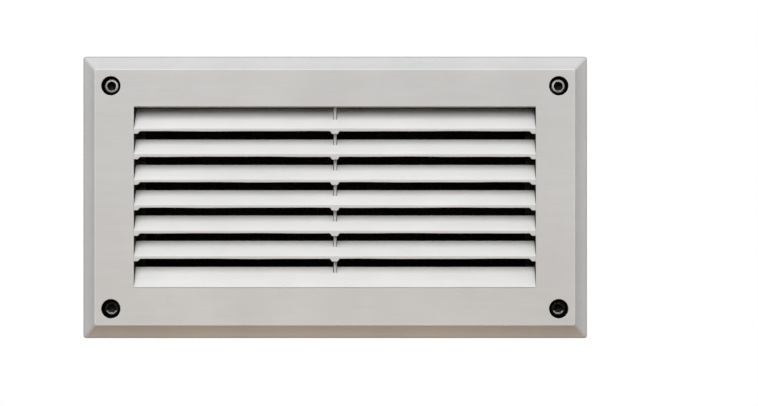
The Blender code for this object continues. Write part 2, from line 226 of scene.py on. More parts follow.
def combine(target, tools, operation):
    """Join or cut with closed tools, one exact Boolean for all, and remove the tools."""
    group = bpy.data.collections.new("tools")
    for tool in tools:
        group.objects.link(tool)
    modifier = target.modifiers.new("combine", "BOOLEAN")
    modifier.operation = operation
    modifier.solver = "EXACT"
    modifier.operand_type = "COLLECTION"
    modifier.collection = group
    bpy.context.view_layer.update()
    graph = bpy.context.evaluated_depsgraph_get()
    mesh = bpy.data.meshes.new_from_object(target.evaluated_get(graph))
    target.modifiers.clear()
    target.data = mesh
    for tool in tools:
        bpy.data.objects.remove(tool, do_unlink=True)
    bpy.data.collections.remove(group)
    shade(target)


def flatten_shading(obj):
    """Let large flat faces set the normals at their edges, and keep only the result."""
    modifier = obj.modifiers.new("weighted", "WEIGHTED_NORMAL")
    modifier.keep_sharp = True
    modifier.weight = 90
    bpy.context.view_layer.update()
    graph = bpy.context.evaluated_depsgraph_get()
    mesh = bpy.data.meshes.new_from_object(obj.evaluated_get(graph))
    obj.modifiers.clear()
    obj.data = mesh


def finish(obj, body, slot, material, *nodes):
    """Paint a piece, put it on its body, and let it stand for its CAD nodes."""
    flatten_shading(obj)
    obj.data.materials.clear()
    obj.data.materials.append(material)
    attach(obj, body)
    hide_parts(*nodes)
    return obj


# ---------------------------------------------------------------------------------------
# Materials


class Shader:
    """A Principled material whose textures use the object's own coordinates."""

    def __init__(self, name, roughness, metallic=0.0):
        self.material = bpy.data.materials.new(name)
        self.material.use_nodes = True
        self.tree = self.material.node_tree
        self.bsdf = self.tree.nodes["Principled BSDF"]
        self.bsdf.inputs["Roughness"].default_value = roughness
        self.bsdf.inputs["Metallic"].default_value = metallic
        self.place = self.tree.nodes.new("ShaderNodeTexCoord").outputs["Object"]
        self.last_bump = None

    def node(self, kind, **values):
        made = self.tree.nodes.new(kind)
        for key, value in values.items():
            made.inputs[key].default_value = value
        return made

    def link(self, output, socket):
        self.tree.links.new(output, socket)

    def stretched(self, scale):
        """Coordinates drawn out along one or more axes."""
        mapping = self.node("ShaderNodeMapping", Scale=scale)
        self.link(self.place, mapping.inputs["Vector"])
        return mapping.outputs["Vector"]

    def noise(self, size, detail=3.0, roughness=0.55, place=None):
        """Noise with features of about size millimetres."""
        scale = 1 / (size * MM)
        made = self.node("ShaderNodeTexNoise", Scale=scale, Detail=detail, Roughness=roughness)
        self.link(place or self.place, made.inputs["Vector"])
        return made.outputs["Fac"]

    def cells(self, size, feature="F1"):
        made = self.node("ShaderNodeTexVoronoi", Scale=1 / (size * MM))
        made.feature = feature
        self.link(self.place, made.inputs["Vector"])
        return made.outputs["Distance"]

    def ramp(self, value, stops):
        """Map a value through (position, colour) stops."""
        made = self.node("ShaderNodeValToRGB")
        elements = made.color_ramp.elements
        while len(elements) < len(stops):
            elements.new(0.5)
        for element, (position, colour) in zip(elements, stops):
            element.position = position
            element.color = (*colour, 1.0)
        self.link(value, made.inputs["Fac"])
        return made.outputs["Color"]

    def mix(self, factor, low, high, blend="MIX"):
        made = self.tree.nodes.new("ShaderNodeMix")
        made.data_type = "RGBA"
        made.blend_type = blend
        sockets = {"Factor": made.inputs[0], "A": made.inputs[6], "B": made.inputs[7]}
        for key, value in (("Factor", factor), ("A", low), ("B", high)):
            if isinstance(value, (int, float)):
                sockets[key].default_value = value
            elif isinstance(value, tuple):
                sockets[key].default_value = (*value, 1.0)
            else:
                self.link(value, sockets[key])
        return made.outputs[2]

    def spread(self, value, low, high):
        """Rescale a 0 to 1 value to the range low to high."""
        made = self.node("ShaderNodeMapRange")
        made.inputs["To Min"].default_value = low
        made.inputs["To Max"].default_value = high
        self.link(value, made.inputs["Value"])
        return made.outputs["Result"]

    def bump(self, height, depth, strength=1.0):
        """Relief of depth millimetres, on top of any relief added before."""
        made = self.node("ShaderNodeBump", Distance=depth * MM, Strength=strength)
        self.link(height, made.inputs["Height"])
        if self.last_bump:
            self.link(self.last_bump, made.inputs["Normal"])
        self.last_bump = made.outputs["Normal"]
        self.link(self.last_bump, self.bsdf.inputs["Normal"])

    def colour(self, value):
        self.link(value, self.bsdf.inputs["Base Color"])

    def roughness(self, value):
        self.link(value, self.bsdf.inputs["Roughness"])


def grey(value, warmth=0.0):
    return (value * (1 + warmth), value, value * (1 - warmth))


def paint_material(name, tone):
    """Satin stoving paint over a slightly uneven casting, with faint grime and streaks."""
    s = Shader(name, 0.42)
    darker = (0.97 * tone, 0.97 * tone, 0.955 * tone)
    lighter = (1.03 * tone, 1.03 * tone, 1.01 * tone)
    blotches = s.ramp(s.noise(38, 4), [(0.35, darker), (0.65, lighter)])
    streaks = s.noise(5, 3, place=s.stretched((1.0, 1.0, 0.12)))
    dirty = (0.85 * tone, 0.835 * tone, 0.8 * tone)
    streaked = s.mix(s.spread(streaks, 0.0, 0.12), blotches, dirty)
    along_x = s.noise(2.2, 3, place=s.stretched((0.1, 1.0, 1.0)))
    brushing = s.ramp(along_x, [(0.35, grey(0.972)), (0.65, grey(1.0))])
    brushed = s.mix(1.0, streaked, brushing, "MULTIPLY")
    specks = s.ramp(s.noise(1.6, 2), [(0.70, (0.0, 0.0, 0.0)), (0.78, (0.3, 0.3, 0.3))])
    s.colour(s.mix(specks, brushed, (0.42, 0.40, 0.37)))
    s.roughness(s.spread(s.noise(9, 4), 0.55, 0.72))
    s.bump(s.noise(1.4, 2), 0.035, 0.35)
    s.bump(s.noise(14, 2), 0.12, 0.4)
    return s.material


def steel_material(name, light, dark, stain):
    """Stainless steel with turning marks and a patchy brown film of stain from 0 to 1."""
    s = Shader(name, 0.3, 1.0)
    patches = s.ramp(s.noise(1.8, 4), [(0.4, light), (0.62, dark)])
    film = s.spread(s.noise(2.6, 5, 0.7), 0.0, stain)
    s.colour(s.mix(film, patches, (0.10, 0.075, 0.05)))
    s.roughness(s.spread(s.noise(1.2, 3), 0.48, 0.65 + 0.2 * stain))
    s.bump(s.noise(0.25, 2, place=s.stretched((0.3, 1.0, 0.3))), 0.01, 0.5)
    return s.material


def shade_and_grime_material(name, metallic):
    """A nearly black film: painted shade in recesses, gaps and sockets, and grime on the lower
    screws' heads.
    """
    s = Shader(name, 0.6, metallic)
    s.bsdf.inputs["Specular IOR Level"].default_value = 0.2
    s.colour(s.ramp(s.noise(0.7, 4), [(0.45, grey(0.003)), (0.7, grey(0.03, 0.1))]))
    s.roughness(s.spread(s.noise(0.5, 3), 0.45, 0.8))
    s.bump(s.noise(0.35, 3), 0.03, 0.6)
    return s.material


def brass_material():
    s = Shader("turned_brass", 0.3, 1.0)
    tarnish = s.ramp(s.noise(2.5, 4), [(0.35, (0.78, 0.57, 0.25)), (0.7, (0.52, 0.36, 0.15))])
    s.colour(tarnish)
    s.roughness(s.spread(s.noise(1.0, 3), 0.2, 0.45))
    s.bump(s.noise(0.3, 2, place=s.stretched((0.2, 1.0, 0.2))), 0.01, 0.4)
    return s.material


def plastic_material(name, dark, light, grain, roughness):
    """Moulded plastic with a spark-eroded grain and faint flow marks."""
    s = Shader(name, roughness)
    flow = s.noise(26, 3, place=s.stretched((1.0, 0.35, 1.0)))
    base = s.ramp(flow, [(0.35, dark), (0.65, light)])
    dust_noise = s.noise(7, 6, 0.7)
    dust = s.ramp(dust_noise, [(0.55, (0.0, 0.0, 0.0)), (0.8, (0.30, 0.30, 0.30))])
    s.colour(s.mix(dust, base, tuple(0.12 + 0.8 * c for c in light)))
    s.roughness(s.spread(s.noise(grain * 3, 3), roughness - 0.08, roughness + 0.1))
    s.bump(s.noise(grain, 2), 0.03, 0.6)
    return s.material


def wire_material():
    s = Shader("epoxy_coated_wire", 0.42, 0.2)
    s.bsdf.inputs["Specular IOR Level"].default_value = 0.15
    s.colour(s.ramp(s.noise(3, 4), [(0.4, grey(0.003)), (0.7, grey(0.008, 0.08))]))
    s.roughness(s.spread(s.noise(0.8, 2), 0.5, 0.7))
    s.bump(s.noise(0.2, 2), 0.01, 0.5)
    return s.material


def foam_material(name, dark, light, pore, depth):
    """Open-cell foam: deep round pores between light struts."""
    s = Shader(name, 0.95)
    s.bsdf.inputs["Specular IOR Level"].default_value = 0.1
    pores = s.cells(pore)
    mottle = s.ramp(s.noise(11, 4), [(0.35, dark), (0.7, light)])
    cavity = s.ramp(pores, [(0.1, grey(0.0)), (0.45, grey(0.85))])
    s.colour(s.mix(cavity, tuple(0.3 * c for c in dark), mottle))
    s.bump(pores, depth, 1.0)
    s.bump(s.noise(pore * 0.5, 2), depth * 0.4, 0.6)
    return s.material


# ---------------------------------------------------------------------------------------
# Face frame


def screw_centre(corner):
    low, high = box_mm(f"face_screw_{corner}")
    middle = (low + high) / 2
    return middle.x, middle.z


def small_screw_centre(corner):
    low, high = box_mm(f"screen_screw_{corner}")
    middle = (low + high) / 2
    return middle.x, middle.z


def face_section():
    """Corners of the frame's section, each as half width, half height, y and edge radius."""
    w, h = HALF_WIDTH, HALF_HEIGHT
    ow, oh = OPENING_HALF_WIDTH, OPENING_HALF_HEIGHT
    rear = FACE_HIGH.y
    plate_rear = FRONT + PLATE
    cove = []
    for part in (0.07, 0.2, 0.4, 0.6, 0.8):
        sag = 4 * COVE_SAG * part * (1 - part) * math.sqrt(0.5)
        inset = BEVEL * part + sag
        cove.append((w - inset, h - inset, FRONT + BEVEL * (1 - part) + sag, 8.0))
    return [
        (w, h, rear, 0.4),
        (w, h, FRONT + BEVEL, 0.5),
        *cove,
        (w - BEVEL, h - BEVEL, FRONT, 0.7),
        (ow, oh, FRONT, 0.3),
        (ow, oh, SKIRT_REAR, 0.4),
        (ow + SKIRT_WALL, oh + SKIRT_WALL, SKIRT_REAR, 0.5),
        (ow + SKIRT_WALL, oh + SKIRT_WALL, plate_rear, 0.6),
        (w - LEDGE_WALL, h - LEDGE_WALL, plate_rear, 0.6),
        (w - LEDGE_WALL, h - LEDGE_WALL, LEDGE_REAR, 0.3),
        (w - RIM_WALL, h - RIM_WALL, LEDGE_REAR, 0.3),
        (w - RIM_WALL, h - RIM_WALL, rear, 0.4),
    ]


def face_loops():
    """The section with rounded edges, as rectangles from the rear rim round to itself."""
    corners = face_section()
    radii = [corner[3] for corner in corners]
    wide = rounded([(w, y) for w, _, y, _ in corners], radii)
    tall = rounded([(h, y) for _, h, y, _ in corners], radii)
    loops = []
    for (half_width, y), (half_height, _) in zip(wide, tall):
        outside = half_width - OPENING_HALF_WIDTH - SKIRT_WALL
        corner = 1.3 if outside > 0.1 else 0.7
        loops.append(rectangle(half_width, half_height, y, corner, 4))
    return loops


def hole_cutter(corner):
    """The counterbore with its rounded mouth, and the clearance hole behind it."""
    lip = 0.45
    wide, narrow = COUNTERBORE_RADIUS, CLEARANCE_RADIUS
    seat = box_mm(f"sealing_washer_{corner}")[1].y + 0.1
    profile = [(wide + lip, FRONT - 2.0)]
    for step in range(5):
        angle = math.radians(90 * step / 4)
        profile.append((wide + lip * (1 - math.sin(angle)), FRONT + lip * (1 - math.cos(angle))))
    profile += [(wide, seat), (narrow, seat), (narrow, 2.0)]
    return turned("hole", screw_centre(corner), profile, 72)


def boss(corner):
    profile = [(BOSS_RADIUS, FRONT + PLATE / 2), (BOSS_RADIUS, SKIRT_REAR - 0.4)]
    profile += [(BOSS_RADIUS - 0.4, SKIRT_REAR)]
    return turned("boss", screw_centre(corner), profile, 56)


def pilot(corner):
    low, _ = box_mm(f"screen_screw_{corner}")
    radius = SMALL_PILOT_RADIUS
    profile = [(0.2, low.y - 0.6), (radius, low.y), (radius, 2.0)]
    return turned("pilot", small_screw_centre(corner), profile, 24)


def face_patch(x, y, z, centres):
    """Which material lies here: 0 paint, 1 painted shade, 2 painted highlight, 3 dark rim and
    painted shade.
    """
    in_bore = any(math.hypot(x - a, z - b) < COUNTERBORE_RADIUS + 0.15 for a, b in centres)
    beside_blades = abs(abs(x) - OPENING_HALF_WIDTH) < 0.15 and abs(z) < OPENING_HALF_HEIGHT
    outside = max(abs(x) - HALF_WIDTH, abs(z) - HALF_HEIGHT)
    # Near-black on the counterbores' walls and on the opening's side walls is painted shade.
    if y > FRONT + 0.2 and (in_bore or beside_blades):
        return 1
    # A lighter band where the bevel meets the face is a painted highlight.
    if FRONT + 0.003 < y < FRONT + 0.3 and -BEVEL - 0.6 < outside < -BEVEL + 0.6:
        return 2
    # Darker paint on the outer rim, and on the opening's top wall as painted shade.
    under_top_edge = abs(x) < OPENING_HALF_WIDTH and abs(z - OPENING_HALF_HEIGHT) < 0.15
    on_rim = abs(y - FRONT - BEVEL) < 1.0 and outside > -0.75
    if on_rim or (under_top_edge and y > FRONT + 0.05):
        return 3
    return 0


def make_face_frame(paint, painted_shade, edge_highlight, dark_rim_and_shade):
    """The face, with painted shade in its recesses and on its top inner wall, a painted highlight
    along the bevel's inner edge and a darker outer rim.
    """
    obj = loft("grille_face", face_loops(), ring=True)
    combine(obj, [boss(corner) for corner in CORNERS], "UNION")
    combine(obj, [hole_cutter(c) for c in CORNERS] + [pilot(c) for c in CORNERS], "DIFFERENCE")
    finish(obj, "face", "grille_paint", paint, "face_frame")
    for material in (painted_shade, edge_highlight, dark_rim_and_shade):
        obj.data.materials.append(material)
    centres = [screw_centre(corner) for corner in CORNERS]
    for polygon in obj.data.polygons:
        polygon.material_index = face_patch(*(polygon.center / MM), centres)


# ---------------------------------------------------------------------------------------
# Blades and rib


def gusset_drop(x, half):
    """How far the lip's lower edge drops at x, for the webs at the ends and the middle."""
    from_end = half - abs(x)
    end = min(max(3.0 - from_end, 0.0), GUSSET_DROP)
    middle = min(max((2.4 - abs(x)) * 1.4, 0.0), GUSSET_DROP + 0.1)
    return max(end, middle)


def wave(x, seed):
    """A gentle, repeatable unevenness along a cast edge."""
    return WAVE * (math.sin(x / 13.0 + 2.1 * seed) + 0.6 * math.sin(x / 5.7 + 4.3 * seed))


def make_blade(index, lit_slope, front_paint):
    """A blade lofted along X; its slope is painted lighter than its lip and webs, as painted light
    for the slope that faces up to the light.
    """
    node = f"louvre_blade_{index + 1}"
    low_box, high_box = box_mm(node)
    last = index == BLADE_COUNT - 1
    lip, rake = (SILL_LIP, SILL_RAKE) if last else (LIP, BLADE_RAKE)
    low = low_box.z + (0.0 if last else GUSSET_DROP)
    top, rear = high_box.z, high_box.y
    toe = FRONT + (BLADE_SHEET - lip) / rake
    crest = FRONT + (top - low - lip) / rake
    half = OPENING_HALF_WIDTH - 0.02
    radii = [0.18, 0.2, 0.35, 0.15, 0.12, 0.1] if last else [0.22, 0.25, 0.35, 0.3, 0.3, 0.45]
    sections = []
    for x in blade_stations(half):
        drop = 0.0 if last else gusset_drop(x, half) + wave(x, index)
        lift = 0.5 * wave(x, index + 0.4)
        outline = [
            (FRONT, low - drop),
            (toe, low - drop),
            (rear, low + (rear - toe) * rake),
            (rear, top),
            (crest, top),
            (FRONT, low + lip + lift),
        ]
        sections.append([(x, y, z) for y, z in rounded(outline, radii)])
    obj = loft(f"blade_{index + 1}", sections)
    rib_low, rib_high = box_mm("centre_rib")
    gap = 0.3
    notch_low = (rib_low.x - gap, rib_low.y - gap, low - 4)
    notch = block("notch", notch_low, (rib_high.x + gap, 0, top + 4))
    combine(obj, [notch], "DIFFERENCE")
    finish(obj, "face", "grille_paint", lit_slope, node)
    obj.data.materials.append(front_paint)
    # The slope keeps the lighter paint, painted light for a face that looks up to the light; the
    # front faces take the plainer paint.
    for polygon in obj.data.polygons:
        if polygon.center.y / MM < FRONT + 0.05:
            polygon.material_index = 1


def blade_stations(half):
    """Places along a blade: evenly spaced, and closer together over the gussets."""
    step = 2.5
    count = int(half / step)
    inner = [step * i for i in range(2, count)]
    near_middle = [0.0, 1.4, 1.5, 1.65, 2.0, 2.35, 2.5, 2.65, 3.4]
    near_end = [half - d for d in (0.0, 1.55, 1.7, 1.85, 2.4, 2.85, 3.0, 3.15)]
    positive = sorted(set(near_middle + [x for x in inner if x < half - 3.6] + near_end))
    return [-x for x in reversed(positive) if x > 0] + positive


def make_rib(paint):
    low, high = box_mm("centre_rib")
    half = OPENING_HALF_HEIGHT - 0.02
    outline = [(low.x, low.y), (high.x, low.y), (high.x, high.y), (low.x, high.y)]
    rounded_outline = rounded(outline, [0.45, 0.45, 0.2, 0.2])
    heights = [half * (i / 20 - 1) for i in range(41)]
    sections = []
    for z in heights:
        shift = 0.04 * math.sin(z / 9.0)
        sections.append([(x + shift, y, z) for x, y in rounded_outline])
    obj = loft("upright_rib", sections)
    finish(obj, "face", "grille_paint", paint, "centre_rib")


# ---------------------------------------------------------------------------------------
# Fastenings


def thread(pitch, depth, low_y, high_y, handed=1):
    """A radius function for a V thread between two depths, fading in and out at its ends."""

    def radius_at(radius, angle, y):
        if not low_y < y < high_y:
            return radius
        fade = min((y - low_y) / pitch, (high_y - y) / pitch, 1.0)
        phase = (y / pitch - handed * angle / TURN) % 1.0
        return radius - depth * fade * abs(2 * phase - 1)

    return radius_at


def make_face_screw(corner, steel, worn, shade_and_grime):
    """A socket head screw with a bright ring, near-black elsewhere on the head as painted shade in
    the counterbore's gap and the socket; on the lower screws grime covers the head's face, all but a
    crescent.
    """
    node = f"face_screw_{corner}"
    low, high = box_mm(node)
    centre = screw_centre(corner)
    front, under, tip = low.y, low.y + HEAD_HEIGHT, high.y
    head_radius = high.x - centre[0]
    profile = [(0.02, front), (SOCKET_RADIUS - 0.3, front), (SOCKET_RADIUS + 0.25, front + 0.01)]
    profile += [(RING_RADIUS - 0.45, front + 0.05), (RING_RADIUS - 0.15, front + 0.13)]
    profile += [(RING_RADIUS, front + 0.24), (RING_RADIUS + 0.3, front + 0.6)]
    profile += [(head_radius - 0.12, front + 1.1), (head_radius, front + 1.4)]
    profile += [(head_radius, under - 0.2), (head_radius - 0.2, under)]
    profile += [(SHANK_RADIUS + 0.25, under), (SHANK_RADIUS, under + 0.25)]
    steps = int((tip - under - 0.9) / SCREW_PITCH * 8)
    for step in range(steps + 1):
        profile.append((SHANK_RADIUS, under + 0.4 + step * SCREW_PITCH / 8))
    profile += [(SHANK_RADIUS - 0.4, tip - 0.05), (SHANK_RADIUS - 0.6, tip), (0.02, tip)]
    cut_thread = thread(SCREW_PITCH, 0.42, under + 0.8, tip - 0.3)

    def radius_at(radius, angle, y):
        if abs(radius - head_radius) < 0.01 and front + 1.35 < y < under - 0.1:
            return radius - 0.08 * (1 + math.cos(36 * angle))
        if abs(radius - SHANK_RADIUS) < 0.01:
            return cut_thread(radius, angle, y)
        return radius

    obj = turned(f"socket_screw_{corner}", centre, profile, 144, radius_at)
    mouth = [(SOCKET_RADIUS + 0.5, front - 0.5), (SOCKET_RADIUS - 0.35, front + 0.35)]
    flare = turned("flare", centre, mouth, 48)
    combine(obj, [hex_socket(centre, front), flare], "DIFFERENCE")
    finish(obj, f"screw_{corner}", "screw_steel", steel, node)
    obj.data.materials.append(worn)
    obj.data.materials.append(shade_and_grime)
    for polygon in obj.data.polygons:
        x, y, z = polygon.center / MM
        radius = math.hypot(x - centre[0], z - centre[1])
        # Near-black on the head's sides, shoulder and socket is painted shade in the gap round the
        # head; on the lower screws it is also grime over the face.
        bright = y < front + 0.22 and radius > SOCKET_RADIUS + 0.05
        if corner.startswith("bottom"):
            bright = y < front + 0.5 and radius < CRESCENT_RADIUS and z < centre[1] - CRESCENT_DROP
        polygon.material_index = 1 if bright else 2 if y < under else 0


def hex_socket(centre, front):
    """A hexagonal hole with a drilled cone at the bottom."""
    x, z = centre
    loops = [hexagon(x, z, SOCKET_RADIUS, front - 1.0), hexagon(x, z, SOCKET_RADIUS, front + 2.5)]
    loops.append(hexagon(x, z, 0.1, front + 3.3))
    return loft("socket", loops)


def hexagon(x, z, radius, y):
    angles = [TURN * (i + 0.5) / 6 + SOCKET_TURN for i in range(6)]
    return [(x + radius * math.cos(a), y, z + radius * math.sin(a)) for a in angles]


def make_washer(corner, nylon):
    node = f"sealing_washer_{corner}"
    low, high = box_mm(node)
    centre = screw_centre(corner)
    outer = high.x - centre[0]
    inner = CLEARANCE_RADIUS
    outline = [(outer, low.y), (outer, high.y), (inner, high.y), (inner, low.y)]
    obj = turned(f"nylon_washer_{corner}", centre, rounded(outline, 0.25), 64, ring=True)
    finish(obj, f"washer_{corner}", "washer_nylon", nylon, node)


def make_insert(corner, brass):
    """A knurled brass insert with two grooves and an internal thread."""
    node = f"threaded_insert_{corner}"
    low, high = box_mm(node)
    centre = screw_centre(corner)
    outer, bore, pitch = high.x - centre[0], 2.9, 0.8
    length = high.y - low.y
    profile = [(bore + 0.4, low.y), (outer - 0.2, low.y), (outer, low.y + 0.2)]
    for start, end in ((0.8, 3.2), (4.0, 6.4), (7.2, 9.2)):
        profile += [(outer - 0.45, low.y + start - 0.15), (outer, low.y + start + 0.1)]
        profile += [(outer, low.y + (start + end) / 2), (outer, low.y + end - 0.1)]
        profile += [(outer - 0.45, low.y + end + 0.15)]
    profile += [(outer - 0.3, high.y), (bore + 0.4, high.y)]
    steps = int((length - 0.8) / pitch * 6)
    for step in range(steps + 1):
        profile.append((bore, high.y - 0.4 - step * pitch / 6))
    cut_thread = thread(pitch, 0.25, low.y + 0.5, high.y - 0.5)

    def radius_at(radius, angle, y):
        if abs(radius - outer) < 0.01 and y > low.y + 0.5:
            return radius - 0.12 * (1 + math.cos(30 * angle))
        if abs(radius - bore) < 0.01:
            return cut_thread(radius, angle, y)
        return radius

    obj = turned(f"brass_insert_{corner}", centre, profile, 120, radius_at, ring=True)
    finish(obj, "wall_fixing", "insert_brass", brass, node)


def make_screen_screw(corner, steel):
    """A pan head screw, seen from behind, with a cross recess and a coarse thread."""
    node = f"screen_screw_{corner}"
    low, high = box_mm(node)
    centre = small_screw_centre(corner)
    head = high.x - centre[0]
    under = high.y - 1.6
    shank, pitch = 1.18, 0.9
    profile = [(0.05, low.y), (0.45, low.y + 0.5), (shank - 0.2, low.y + 1.2)]
    steps = int((under - low.y - 1.9) / pitch * 7)
    for step in range(steps + 1):
        profile.append((shank, low.y + 1.4 + step * pitch / 7))
    profile += [(shank, under), (head - 0.15, under), (head, under + 0.15), (head, under + 0.6)]
    for step in range(1, 6):
        angle = math.radians(90 * step / 5)
        profile.append((head - 1.1 * (1 - math.cos(angle)), under + 0.6 + math.sin(angle)))
    profile += [(0.05, high.y)]
    cut_thread = thread(pitch, 0.35, low.y + 1.3, under - 0.6)

    def radius_at(radius, angle, y):
        return cut_thread(radius, angle, y) if abs(radius - shank) < 0.01 else radius

    obj = turned(f"pan_screw_{corner}", centre, profile, 48, radius_at)
    x, z = centre
    arm, slot_half = 1.25, 0.28
    y_low, y_high = high.y - 0.95, high.y + 1.0
    across = block("across", (x - arm, y_low, z - slot_half), (x + arm, y_high, z + slot_half))
    upright = block("upright", (x - slot_half, y_low, z - arm), (x + slot_half, y_high, z + arm))
    combine(obj, [across, upright], "DIFFERENCE")
    finish(obj, "face", "screw_steel", steel, node)


# ---------------------------------------------------------------------------------------
# Behind the face


def woven_wire(name, low, high, pitch, radius):
    """Plain weave: each wire passes over and under the wires that cross it."""
    middle_y = (low.y + high.y) / 2
    spans = {"x": (low.x, high.x), "z": (low.z, high.z)}
    vertices, faces = [], []
    sides = 6
    for along, across in (("z", "x"), ("x", "z")):
        start, end = spans[along]
        first, last = spans[across]
        wires = int((last - first - 2 * radius) / pitch)
        offset = (last - first - wires * pitch) / 2
        crossings = int((end - start - 2 * radius) / pitch)
        margin = (end - start - crossings * pitch) / 2
        for wire in range(wires + 1):
            place = first + offset + wire * pitch
            rings = []
            for step in range(-1, 2 * crossings + 2):
                travel = start + margin + step * pitch / 2
                travel = min(max(travel, start), end)
                side = 1 if (wire + (along == "x")) % 2 else -1
                height = side * radius * math.cos(math.pi * step / 2)
                rings.append((travel, height))
            base = len(vertices)
            for travel, height in rings:
                for i in range(sides):
                    angle = TURN * i / sides
                    sideways = place + radius * math.cos(angle)
                    y = middle_y + height + radius * math.sin(angle)
                    point = (sideways, y, travel) if along == "z" else (travel, y, sideways)
                    vertices.append(point)
            for ring in range(len(rings) - 1):
                for i in range(sides):
                    j = (i + 1) % sides
                    a = base + ring * sides
                    faces.append((a + i, a + j, a + sides + j, a + sides + i))
            faces.append(tuple(base + i for i in range(sides)))
            faces.append(tuple(base + (len(rings) - 1) * sides + i for i in range(sides)))
    return make_object(name, vertices, faces)


def make_insect_mesh(wire):
    low, high = box_mm("insect_mesh")
    obj = woven_wire("woven_insect_mesh", low, high, MESH_PITCH, MESH_WIRE_RADIUS)
    finish(obj, "face", "mesh_wire", wire, "insect_mesh")


def make_screen_frame(plastic):
    """A flat clamping ring with a deep tray behind it, and a stepped lip for the pad."""
    low, high = box_mm("screen_frame")
    plate_rear = low.y + 1.5
    tray_outer, tray_inner, window = 5.6, 7.1, 9.1
    corners = [
        (0.0, low.y),
        (0.0, plate_rear),
        (tray_outer, plate_rear),
        (tray_outer, high.y),
        (tray_inner, high.y),
        (tray_inner, plate_rear),
        (window, plate_rear),
        (window, low.y),
    ]
    section = rounded(corners, [0.3, 0.3, 0.4, 0.35, 0.35, 0.3, 0.3, 0.3])
    obj = ring_of_rectangles("filter_holder", high.x, high.z, section, 3.0)
    holes = []
    for corner in CORNERS:
        radius = SMALL_PILOT_RADIUS + 0.05
        profile = [(radius, low.y - 1), (radius, plate_rear + 1)]
        holes.append(turned("hole", small_screw_centre(corner), profile, 32))
    combine(obj, holes, "DIFFERENCE")
    finish(obj, "face", "holder_plastic", plastic, "screen_frame")


def make_filter_pad(foam):
    """A cut block of open-cell foam with soft edges and an uneven, pitted surface."""
    low, high = box_mm("filter_pad")
    obj = block("foam_filter_pad", low, high)
    bm = bmesh.new()
    bm.from_mesh(obj.data)
    bmesh.ops.bevel(bm, geom=bm.edges[:], offset=1.2 * MM, segments=3, profile=0.6, affect="EDGES")
    long_edges = [edge for edge in bm.edges if edge.calc_length() > 20 * MM]
    bmesh.ops.subdivide_edges(bm, edges=long_edges, cuts=60, use_grid_fill=True)
    for vertex in bm.verts:
        here = vertex.co / MM
        push = 0.22 * noise.noise(here / 2.3) + 0.18 * noise.noise(here / 9.0) - 0.25
        vertex.co += vertex.normal * push * MM
    bm.to_mesh(obj.data)
    bm.free()
    shade(obj)
    finish(obj, "filter", "filter_foam", foam, "filter_pad")


def make_gasket(foam):
    low, high = box_mm("rim_gasket")
    width = 2.8
    corners = [(0.0, low.y), (0.0, high.y), (width, high.y), (width, low.y)]
    obj = ring_of_rectangles("foam_gasket", high.x, high.z, rounded(corners, 0.55), 1.5)
    finish(obj, "face", "gasket_foam", foam, "rim_gasket")


def make_wall_sleeve(plastic):
    """Flange and duct in one moulding, with insert bosses and countersunk wall holes."""
    low, high = box_mm("wall_sleeve")
    flange_inset = high.x - DUCT_HALF_WIDTH
    corners = [
        (0.0, low.y),
        (0.0, 0.0),
        (flange_inset, 0.0),
        (flange_inset, high.y),
        (flange_inset + DUCT_WALL, high.y),
        (flange_inset + DUCT_WALL, low.y),
    ]
    obj = sleeve_shell(high, corners)
    bosses, cuts = [], []
    for corner in CORNERS:
        centre = screw_centre(corner)
        wide, rear = INSERT_BOSS_RADIUS, INSERT_BOSS_REAR
        profile = [(0.1, low.y / 2), (wide, low.y / 2), (wide, rear - 0.8), (wide - 0.8, rear)]
        bosses.append(turned("boss", centre, profile + [(0.1, rear)], 56))
        bore = INSERT_POCKET_RADIUS
        pocket = [(0.1, low.y - 1), (bore, low.y - 1), (bore, INSERT_POCKET_REAR), (0.1, 11.0)]
        cuts.append(turned("pocket", centre, pocket, 48))
    for place in WALL_HOLES:
        hole = WALL_HOLE_RADIUS
        profile = [(4.6, low.y - 0.5), (4.1, low.y), (hole, low.y + 1.85), (hole, 1.0)]
        cuts.append(turned("wall_hole", place, profile, 40))
    combine(obj, bosses, "UNION")
    combine(obj, cuts, "DIFFERENCE")
    finish(obj, "wall_fixing", "sleeve_plastic", plastic, "wall_sleeve")


def sleeve_shell(high, corners):
    """The sleeve's ring. The duct is not inset by the same amount across and up."""
    radii = [0.5, 0.5, 0.8, 0.6, 0.6, 0.6]
    across = rounded(corners, radii)
    shift = (high.x - DUCT_HALF_WIDTH) - (high.z - DUCT_HALF_HEIGHT)
    up = rounded([(inset - shift if inset > 1 else inset, y) for inset, y in corners], radii)
    loops = []
    for (inset_x, y), (inset_z, _) in zip(across, up):
        corner = 2.5 if inset_x < 1 else 3.0
        loops.append(rectangle(high.x - inset_x, high.z - inset_z, y, corner, 5))
    return loft("sleeve_moulding", loops, ring=True)


# ---------------------------------------------------------------------------------------
# Stage: camera, lights and floor, in metres

CAMERA_DISTANCE = 0.8
VIEW_WIDTH = 0.379
SENSOR = 36.0
AIM_RIGHT = 0.0221
AIM_DOWN = 0.00285

FLOOR_Z = -0.5
FLOOR_RADIUS = 0.3
FLOOR_COLOUR = (0.62, 0.55, 0.45)

SKY = (0.25, 0.255, 0.265)
SKYLINE = (0.012, 0.012, 0.012)
GROUND = (0.06, 0.05, 0.035)
# (sine of the elevation, colour), from straight down to straight up
SURROUNDINGS = [(-1.0, GROUND), (-0.75, GROUND), (-0.6, SKYLINE)]
SURROUNDINGS += [(0.1, SKYLINE), (0.3, SKY), (1.0, SKY)]

WHITE = (1.0, 1.0, 1.0)
